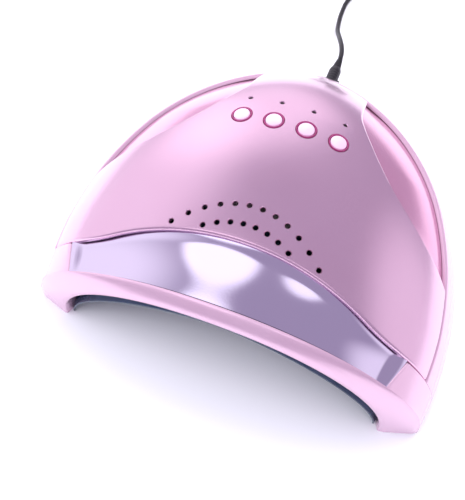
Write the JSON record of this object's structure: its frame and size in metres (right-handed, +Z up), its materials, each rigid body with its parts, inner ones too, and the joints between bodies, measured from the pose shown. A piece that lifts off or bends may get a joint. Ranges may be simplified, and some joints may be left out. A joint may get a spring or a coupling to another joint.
{
  "type": "uv led nail lamp",
  "caption": "Domed nail-curing lamp with an arched hand opening, mirrored front band, push buttons, LED-lined reflector and a coiled adapter lead.",
  "frame": {"origin": "centre of the lamp's footprint on the table, without the cord and adapter", "axes": "+Z up, +X towards the lamp's right side as a user at the arch sees it, the arched opening faces -Y"},
  "size_m": [0.22, 0.5033, 0.0887],
  "materials": {
    "metallic_pink": "metallised satin gloss",
    "deep_pink": "metallised satin gloss",
    "mirror_band": "mirror plated, lilac tint",
    "dark_reflector": "dark glossy",
    "led_board": "white solder mask",
    "circuit_board": "green solder mask",
    "pearl": "pearlescent",
    "magenta": "translucent gloss",
    "smoked_lens": "smoked gloss",
    "aluminium_can": "satin",
    "rubber": "matte",
    "steel": "zinc plated",
    "cord_jacket": "soft matte",
    "black_plastic": "fine texture"
  },
  "bodies": {
    "lamp": {"adapter_blade_1": "steel", "adapter_blade_2": "steel", "adapter_relief": "cord_jacket", "base_frame": "metallic_pink", "base_screw_1": "steel", "base_screw_2": "steel", "base_screw_3": "steel", "base_screw_4": "steel", "button_bezel_1": "magenta", "button_bezel_2": "magenta", "button_bezel_3": "magenta", "button_bezel_4": "magenta", "buzzer": "black_plastic", "capacitor": "aluminium_can", "control_board": "circuit_board", "cord_coil": "cord_jacket", "cord_run": "cord_jacket", "cord_tail": "cord_jacket", "cord_tie": "black_plastic", "dc_jack": "black_plastic", "dc_plug": "black_plastic", "driver_chip": "black_plastic", "hand_sensor": "smoked_lens", "indicator_pipe_1": "smoked_lens", "indicator_pipe_2": "smoked_lens", "indicator_pipe_3": "smoked_lens", "indicator_pipe_4": "smoked_lens", "led_board_back": "led_board", "led_board_left": "led_board", "led_board_right": "led_board", "led_board_top": "led_board", "left_side_cover": "deep_pink", "lower_housing": "metallic_pink", "mirror_band": "mirror_band", "power_adapter": "black_plastic", "reflector": "dark_reflector", "right_side_cover": "deep_pink", "rubber_foot_1": "rubber", "rubber_foot_2": "rubber", "rubber_foot_3": "rubber", "rubber_foot_4": "rubber", "strain_relief": "cord_jacket", "switch_1": "black_plastic", "switch_2": "black_plastic", "switch_3": "black_plastic", "switch_4": "black_plastic", "top_cover": "metallic_pink", "wiring_harness": "black_plastic"},
    "button_1": {"button_cap_1": "pearl"},
    "button_2": {"button_cap_2": "pearl"},
    "button_3": {"button_cap_3": "pearl"},
    "button_4": {"button_cap_4": "pearl"}
  },
  "joints": [
    {"name": "button_1_press", "type": "slide", "parent": "lamp", "child": "button_1", "axis": [0.2067, 0.0273, -0.978], "range_m": [0, 0.0008], "stiffness_N_per_m": 500, "springref_m": -0.0008},
    {"name": "button_2_press", "type": "slide", "parent": "lamp", "child": "button_2", "axis": [0.0716, 0.05, -0.9962], "range_m": [0, 0.0008], "stiffness_N_per_m": 500, "springref_m": -0.0008},
    {"name": "button_3_press", "type": "slide", "parent": "lamp", "child": "button_3", "axis": [-0.0716, 0.05, -0.9962], "range_m": [0, 0.0008], "stiffness_N_per_m": 500, "springref_m": -0.0008},
    {"name": "button_4_press", "type": "slide", "parent": "lamp", "child": "button_4", "axis": [-0.2067, 0.0273, -0.978], "range_m": [0, 0.0008], "stiffness_N_per_m": 500, "springref_m": -0.0008}
  ]
}
